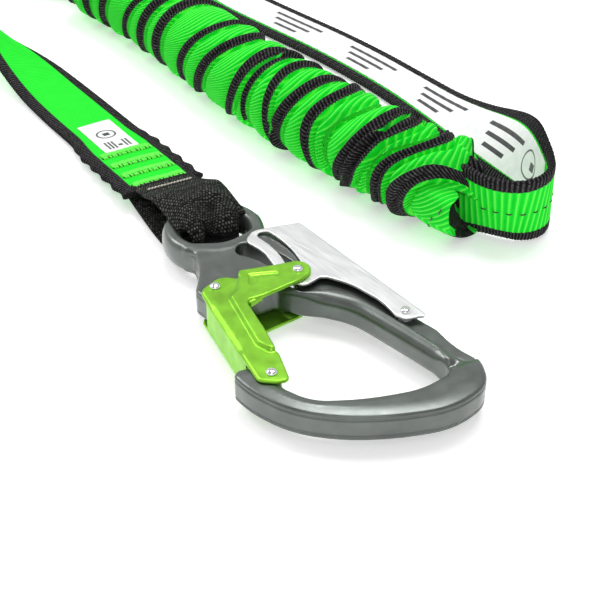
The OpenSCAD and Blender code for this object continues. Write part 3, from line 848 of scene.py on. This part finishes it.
def pleats(x, at, wide):
    """Each point's height over the plain tube, its distance into a charcoal edge, and its pleat's number."""
    rise, edge, cell = np.zeros(x.shape), np.full(x.shape, -9.0), np.zeros(x.shape)
    for j in range(x.shape[1]):
        f = np.concatenate([[GATHER_START - 8], at[:, j], [SLEEVE_END + 30]])
        w = np.concatenate([[4], wide[:, j], [0]])
        k = np.clip(np.searchsorted(f, x[:, j]) - 1, 0, len(f) - 2)
        span = np.maximum(f[k + 1] - f[k], 1e-6)
        t = (x[:, j] - f[k]) / span
        puff = 3.0 * np.sin(np.pi * np.clip(t, 0, 1)) ** 0.75 * (0.72 + 0.5 * t) - 1.5 * (1 - t) ** 5
        rise[:, j] = np.clip(span / 14, 0.25, 1) * puff
        cell[:, j] = k
        for n in range(1, len(f) - 1):
            by = np.abs(x[:, j] - f[n]) < 12
            d = x[by, j] - f[n]
            half = w[n] / 2
            lip = 2.2 if w[n] > 1 else 0.9
            rise[by, j] += lip * np.exp(-(d / (half + 0.5)) ** 4) * (1 + 0.1 * d / max(half, 1))
            rise[by, j] -= 3.2 * np.exp(-((d - half - 1.7) / 1.2) ** 2)
            rise[by, j] -= 1.0 * np.exp(-((d + half + 1.3) / 0.8) ** 2)
            edge[by, j] = np.maximum(edge[by, j], half - np.abs(d) if w[n] > 1 else -9.0)
    return rise, edge, cell


def gathered_grid(step=0.5, sides=144):
    """Points and attributes of the gathered tube. Angle 0 faces -Y, 90 degrees is the top."""
    c = smooth_route(GATHER_ROUTE + [(SLEEVE_END, 92.6, 18.6, 0)], step)[1][:, :3]
    h = unit(np.gradient(c[:, :2], axis=0))
    ang = (np.arange(sides) / sides * 2 - 0.5) * np.pi
    u = np.sin(ang)
    x = c[:, :1] + np.zeros(sides)
    rise, edge, cell = pleats(x, *fold_lines(u, np.clip(-np.cos(ang), 0, 1)))
    wave = np.sin(0.21 * x + 1.3 * np.cos(ang * 2)) + 0.6 * np.sin(0.37 * x - 2 * ang + 1)
    r = GATHER_R + rise * (1 - 0.55 * np.clip(-u - 0.6, 0, 0.4) / 0.4) + 0.35 * wave
    # above, the end closes softly round the tail webbing; below, the last fold curls over into an open pocket
    deg = np.degrees(ang) + 0 * x
    above = ease((deg - 14) / 22) * ease((266 - deg) / 30)
    closing = ease((x - 43.5) / 18.5)
    curl = np.clip((x - CURL_START) / 12, 0, 1)
    back_in = np.clip(2 * curl - 1, 0, 1)
    lip_w = np.where(curl < 0.5, 1 - 0.08 * (2 * curl) ** 3, 0.92 * (1 - back_in ** 1.3))
    inward = 15 - 12 * back_in ** 0.8 + np.maximum(x - 57.5, 0)
    lip_x = np.where(curl < 0.5, 15 * np.sin(np.pi * curl), inward)
    shift = np.where(x > CURL_START, (1 - above) * (CURL_START + lip_x - x), 0)
    tape_r = 1 / np.hypot(np.cos(ang) / (1.2 + 0.9 * above), np.sin(ang) / (8 + 9.2 * above))
    w = (1 - above) * lip_w + above * (1 - closing)
    r = tape_r + (r - tape_r) * w
    # the start closes round the lead webbing
    start = np.clip((GATHER_START + 16 - x) / 16, 0, 1)
    r = tape_r + (r - tape_r) * np.sqrt(np.clip(1 - start ** 3, 0, 1))
    # shadowed mouth above the last fold
    r = r - 8.0 * np.exp(-((deg - 23) / 7.5) ** 2) * ease((x - 43) / 9) * np.clip(w, 0, 1)
    side = np.column_stack([h[:, 1], -h[:, 0], np.zeros(len(h))])
    along = np.column_stack([h, np.zeros(len(h))])
    out = np.cos(ang)[:, None] * side[:, None] + u[:, None] * [0, 0, 1]
    grid = c[:, None] + r[..., None] * out + shift[..., None] * along[:, None]
    grid[..., 2] = np.maximum(grid[..., 2], 0.25)
    # charcoal also on the end's brim and at the foot of the last fold, the webbing's dark edges; inside its
    # pocket the charcoal is painted shade
    z = grid[..., 2]
    brim = np.minimum(z - 26.4 - 3 * ease((x - 55) / 6), x - 55)
    foot = np.minimum(7 - z, np.minimum(x + shift - 54, 58 - x))
    edge = np.maximum(edge, np.maximum(brim, np.where(deg < 90, foot, -9)))
    # painted shade: the inside of the pocket is coloured charcoal
    edge = np.where((curl > 0.62) & (above < 0.6), 3.0, edge)
    lean = np.radians(np.interp(u, (-1, -0.5, 0.3, 1), (66, 58, 34, 14)))
    arc = np.concatenate([[0], np.cumsum(np.sin(0.5 * (lean[1:] + lean[:-1]))) * 2 * np.pi / sides * 19])
    rib = ((x + shift - 7 * cell) * np.cos(lean) + arc) / 2.1
    cross = (19 * ang + 0.5 * x) / 1.7
    return x[:, 0], grid, {"edge": edge, "rib": rib, "cross": cross, "weave": fabric(19 * ang, x)}


def clothe(obj, material, slot, *nodes):
    """A piece of the webbing: its material and the CAD nodes it stands for; the slot is not used."""
    obj.data.materials.append(material)
    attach(obj, "webbing")
    if nodes:
        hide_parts(*nodes)


def thread_tube(points, radius, sides=8):
    """Rings of a thread along points, as a grid, its ends drawn in."""
    way = unit(np.gradient(points, axis=0))
    a = unit(np.cross(way, [0.13, 0.08, 1.0]))
    b = np.cross(a, way)
    t = np.arange(sides) / sides * 2 * np.pi
    r = np.full((len(points), 1, 1), radius)
    r[0] = r[-1] = 0.35 * radius
    return points[:, None] + r * (np.cos(t)[:, None] * a[:, None] + np.sin(t)[:, None] * b[:, None])


def threads_obj(name, runs, radius):
    """One mesh of several threads, each along its own points."""
    verts, quads, count = [], [], 0
    for run in runs:
        grid = thread_tube(run, radius)
        verts.append(grid.reshape(-1, 3))
        quads.append(tube_quads(*grid.shape[:2]) + count)
        count += len(verts[-1])
    return quad_mesh(name, np.vstack(verts) * MM, np.vstack(quads))


class Bed:
    """A strap's own surface: places a point by run, offset across it and height over its face, the run
    counted from the strap's far end if from_end is true."""

    def __init__(self, route, from_end):
        self.s, self.c, self.across, self.face = frames(route, 0.5)
        self.from_end = from_end

    def at(self, run, a, h):
        run, a, h = np.broadcast_arrays(self.s[-1] - run if self.from_end else run, a, h)

        def pick(values):
            return np.stack([np.interp(run, self.s, values[:, k]) for k in range(3)], axis=-1)

        return pick(self.c) + a[..., None] * pick(self.across) + h[..., None] * pick(self.face)


def strip(name, bed, first, last, width, low, high, step=0.6, n=40):
    """A thin closed strip that lies along a strap, from height low to high over the strap's middle."""
    run = np.linspace(first, last, max(3, int((last - first) / step)))
    x, y = squared_ring(n, 0.3, 0.4)
    run, a, b = np.broadcast_arrays(run[:, None], width / 2 * x, (high - low) / 2 * y)
    ripple = 0.06 * np.sin(run * 0.9 + 0.4 * a)
    grid = bed.at(run, a, (low + high) / 2 + b + ripple)
    return tube_obj(name, grid, {"weave": fabric(a, run - first)})


TACK_W, TACK_ROWS = 25.0, [12 * row for row in range(4)]


def bar_tack_runs(bed):
    """Four tacks: three long threads across the strap in each, and a row of short stitches before them."""
    runs = []
    a = np.linspace(-TACK_W / 2, TACK_W / 2, 40)
    t = np.linspace(0, 1, 7)
    for row, tack in enumerate(TACK_ROWS):
        for k in range(3):
            run = tack + 4.5 + k + 0.14 * np.sin(1.9 * a + k) + 0.2 * np.sin(0.35 * a + row)
            lift = 2.05 + 0.12 * np.sin(4.2 * a + k) - 0.35 * (np.abs(a) / (TACK_W / 2)) ** 6
            runs.append(bed.at(run, a, lift))
        for a0 in np.arange(0.6 - TACK_W / 2, TACK_W / 2, 1.55):
            lift = 1.3 + 0.62 * np.sin(np.pi * t) ** 0.5
            runs.append(bed.at(tack + 1.7 + 2.6 * t, a0 + 0.25 * np.sin(2.7 * a0) + 0.3 * t, lift))
    return runs


def tack_shadow_runs(bed):
    """Painted shadow: a dark thread laid under the short stitches of each tack, standing for the shade
    between them.
    """
    return [bed.at(tack + 2.95, np.linspace(-TACK_W / 2, TACK_W / 2, 30), 1.5) for tack in TACK_ROWS]


def zigzag(half, amplitude, pitch):
    """A flat zig-zag line along y with rounded turns."""
    y = np.linspace(-half, half, int(2 * half / pitch * 10))
    x = amplitude * (2 / math.pi) * np.arcsin(0.97 * np.sin(2 * np.pi * y / pitch))
    return x, y


LOOP_PATH = [
    (-57, -1.3), (-51, 0.3), (-45, 1.8), (-38, 4.0), (-31, 6.8), (-25, 8.8), (-19, 9.6), (-13, 9.2),
    (-7, 7.8), (-2, 5.4), (0.8, 1.6), (0.4, -2.8), (-4, -6.4), (-11, -8.2), (-19, -8.7), (-26, -8.4),
    (-34, -7.6), (-44, -6.2), (-53, -4.8),
]
LOOP_TURN, FLOOR_Z = 0.62, -9.7


def wear_loop_grid(n=72, step=0.55):
    """The loop through the eye, about the eye's centre, before the strap's own turn. Its upper half comes
    first: it lies over the ring, bunched into two lobes, and turns back under it at the share LOOP_TURN."""
    run, p = smooth_route([(x, z, 0) for x, z in LOOP_PATH], step)
    x, z = p[:, :1], p[:, 1:2]
    way = unit(np.gradient(p[:, :2], axis=0))
    run = run[:, None]
    below = run > run[-1] * LOOP_TURN
    upper = np.where(z > -1, 1.0, 0.0)
    inside = ease((x + 9) / 10)
    half = np.where(below, 13.6 - 1.6 * inside, 14.0 + 2.1 * ease((x + 45) / 15) - 5.6 * inside)
    shift = np.where(below, -2.2 * ease((-14 - x) / 10), 1.2 * ease((x + 40) / 20) * (1 - inside))
    a, b = squared_ring(n, 0.5, 0.5)
    y = half * a + shift
    over_ring = ease((x + 30) / 14) * (1 - 0.75 * ease((x + 10) / 8))
    bend = over_ring * (17.4 - np.sqrt(np.maximum(17.4 ** 2 - (0.93 * y) ** 2, 9)))
    middle = np.clip(3 - 0.42 * (x + 10), -2, 4)
    crease = ease((x + 18) / 9) * np.exp(-((y - middle) / 3.4) ** 2)
    puff = ease((x + 34) / 14) * np.exp(-((np.abs(y) - 7.5) / 3.6) ** 2)
    droop = ease((x + 30) / 12) * 2.6 * (np.abs(y) / 15.0) ** 4
    swell = (1.7 * puff - 5.0 * crease - droop * upper) * (0.4 + 0.6 * upper)
    lift = 0.85 * b + swell + 0.1 * np.sin(2 * np.pi * run / 1.15) * np.sign(b)
    px = x + bend - way[:, 1:] * lift
    pz = np.maximum(z + way[:, :1] * lift, FLOOR_Z)
    # painted shade: dims the floats in the crease between the lobes and low where the loop turns under the
    # ring
    painted_loop_shade = ease((x + 15) / 5) * np.exp(-((y - middle) / 2.6) ** 4) * upper * (b > 0)
    painted_loop_shade = np.maximum(painted_loop_shade, (x > -12) * ease((2.6 - z) / 2.4))
    return np.stack([px, y, pz], axis=-1), {"weave": fabric(y + 50 * (b < 0), run), "painted_loop_shade": painted_loop_shade}


def stitched_end(run, a, b, edge):
    """A strap's shape where tacks hold it: wider, its rims swelling between them."""
    held = 1 - ease((run - 46) / 24)
    pull = np.cos(2 * np.pi * (run - 5) / 12) * held * np.clip(np.abs(a) / 17, 0, 1) ** 6
    wider = a * (1 + 0.115 * held) - 0.55 * pull * np.sign(a)
    return wider, b * (1 - 0.14 * pull), np.where(run < 0.8, 3.0, edge)


def add_straps(looks):
    """The lead, the tail, which starts inside the last fold, and the gathered tube, whose grid it returns."""
    lead = tape("lead_webbing_tape", LEAD_ROUTE, 0.5, 64, 0.03, 1.5, stitched_end)
    clothe(lead, looks["smooth_tape"], "webbing", "lead_webbing")
    whole_tail = [(44, 91, 17.6, 96)] + TAIL_ROUTE
    end = smooth_route(whole_tail, 0.45)[0][-1]
    tail = tape("tail_webbing_tape", whole_tail, 0.45, 56, 0.16, 2.7,
                lambda run, a, b, edge: stitched_end(end - run, a, b, edge))
    clothe(tail, looks["tape"], "webbing", "tail_webbing")
    tube_x, grid, values = gathered_grid()
    gathered = tube_obj("gathered_webbing_pleats", grid, values)
    clothe(gathered, looks["pleats"], "webbing", "gathered_webbing")
    for piece, route, wide in (
            (lead, LEAD_ROUTE, 0.034), (tail, TAIL_ROUTE, 0.034), (gathered, GATHER_ROUTE, 0.04)):
        route_length(route)
        metres(smooth_route(route, 8)[1])
    return tube_x, grid


def add_labels(looks):
    label = strip("identity_label_cloth", Bed(LEAD_ROUTE, False), 43, 79, 17, 1.62, 2.0)
    clothe(label, looks["id_label"], "label", "identity_label")
    label = strip("load_label_cloth", Bed(TAIL_ROUTE, False), 53, 345, 22.4, -2.1, -1.7)
    clothe(label, looks["load_label"], "label", "load_label")


def add_end(prefix, bed, place, turn, looks):
    """One stitched end: the bar tacks, the wear loop through the eye and the zig-zag that closes it."""
    clothe(threads_obj(f"{prefix}_bar_tack_threads", bar_tack_runs(bed), 0.56),
           looks["green_thread"], "green_thread", f"{prefix}_bar_tacks")
    # painted shadow: a dark thread under each row of short stitches
    clothe(threads_obj(f"{prefix}_tack_shadow_threads", tack_shadow_runs(bed), 0.55),
           looks["black_thread_and_shadow"], "wear_webbing")
    loop, values = wear_loop_grid()
    clothe(tube_obj(f"{prefix}_wear_loop_webbing", turned_into(place, turn, loop), values),
           looks["black"], "wear_webbing", f"{prefix}_wear_loop")
    x, y = zigzag(10.5, 1.0, 1.5)
    x = x - 43.5
    line = np.column_stack([x, y, np.interp(x, (-45, -38), (1.8, 4.0)) + 1.15])
    clothe(threads_obj(f"{prefix}_loop_tack_thread", [turned_into(place, turn, line)], 0.34),
           looks["grey_thread"], "grey_thread", f"{prefix}_loop_tack")


def add_middle_stitches(tube_x, tube, looks):
    """Single stitches along the middle of the tail and across the last fold."""
    t = np.linspace(0, 1, 6)
    bed = Bed(TAIL_ROUTE, False)
    runs = [bed.at(run + 2.6 * t, -1.0, 1.42 + 0.4 * np.sin(np.pi * t)) for run in np.arange(9, 74, 5.4)]
    lift = np.array([0.5, -0.8, 0.25]) * (0.35 + 0.4 * np.sin(np.pi * t))[:, None]
    for stitch in FOLD_STITCHES:
        ends = [tube[int(np.interp(x, tube_x, np.arange(len(tube_x)))), int((deg + 90) / 360 * tube.shape[1])]
                for x, deg in stitch]
        runs.append(ends[0] + (ends[1] - ends[0]) * t[:, None] + lift)
    clothe(threads_obj("middle_stitches", runs, 0.28), looks["black_thread_and_shadow"], "wear_webbing")


def add_core(looks):
    """Braided cover of the elastic core: two sets of ridges that cross."""
    s, c = smooth_route([(-246, 109.9, 20.2, 0)] + GATHER_ROUTE[1:-1] + [(42, 90.8, 20.2, 0)], 0.8)
    s = s[:, None]
    ang = np.arange(48) / 48 * 2 * np.pi
    r = 5.7 + 0.22 * np.sin(6 * ang + s * 0.9) * np.sin(6 * ang - s * 0.9)
    grid = c[:, None, :3] + r[..., None] * np.stack([0 * ang, np.cos(ang), np.sin(ang)], axis=-1)
    core = tube_obj("braided_elastic_core", grid, {"weave": fabric(6 * ang, s)})
    clothe(core, looks["core"], "elastic", "elastic_core")


def main():
    add_camera()
    add_studio()
    looks = {
        "hook": anodised("gunmetal_anodising", (0.12, 0.136, 0.126), 0.34, 0.8, coat=0.7),
        "gate": anodised("green_anodising", (0.26, 0.62, 0.04), 0.34, 0.78),
        "lever": steel("polished_steel", (0.95, 0.95, 0.96), 0.34, (0.1, 1, 1)),
        "rivet": steel("rivet_steel", (0.92, 0.92, 0.94), 0.1),
        "spring": steel("spring_wire", (0.55, 0.56, 0.58), 0.3),
        "tape": tape_material("ribbed_green_tape"),
        "smooth_tape": tape_material("smooth_green_tape", 0.0, 0.35),
        "pleats": tape_material("gathered_green_tape", 1.5),
        "black": black_webbing("black_webbing"),
        "core": braid("braided_elastic"),
        "green_thread": thread("green_thread", (0.17, 1.0, 0.06), (0.04, 0.75, 0.02)),
        "grey_thread": thread("grey_thread", (0.62, 0.58, 0.5), (0.3, 0.28, 0.24)),
        "black_thread_and_shadow": thread("black_thread_and_shadow", (0.02, 0.02, 0.02), (0.005, 0.005, 0.005)),
        "id_label": label_cloth("identity_label", (0, 21, 4.4), ID_PRINT),
        "load_label": label_cloth("load_label", (0, 20, 6.5), LOAD_PRINT),
    }
    tube_x, tube = add_straps(looks)
    add_core(looks)
    add_labels(looks)
    add_end("anchor", Bed(LEAD_ROUTE, False), ANCHOR, -12, looks)
    add_end("tool", Bed(TAIL_ROUTE, True), TOOL, 0, looks)
    add_middle_stitches(tube_x, tube, looks)
    parts = {
        "hook": surface(hook_shape(), (-23, -60, -7.5), (148, 24, 7.5), 0.5),
        "gate": surface(gate_shape(), (30, -56, -10.4), (103, 10, 10.4), 0.45),
        "lever": surface(lever_shape(), (12, -9, -8.6), (106, 30, 8.6), 0.42),
    }
    add_connector("anchor", ANCHOR, parts, looks)
    add_connector("tool", TOOL, parts, looks)


main()
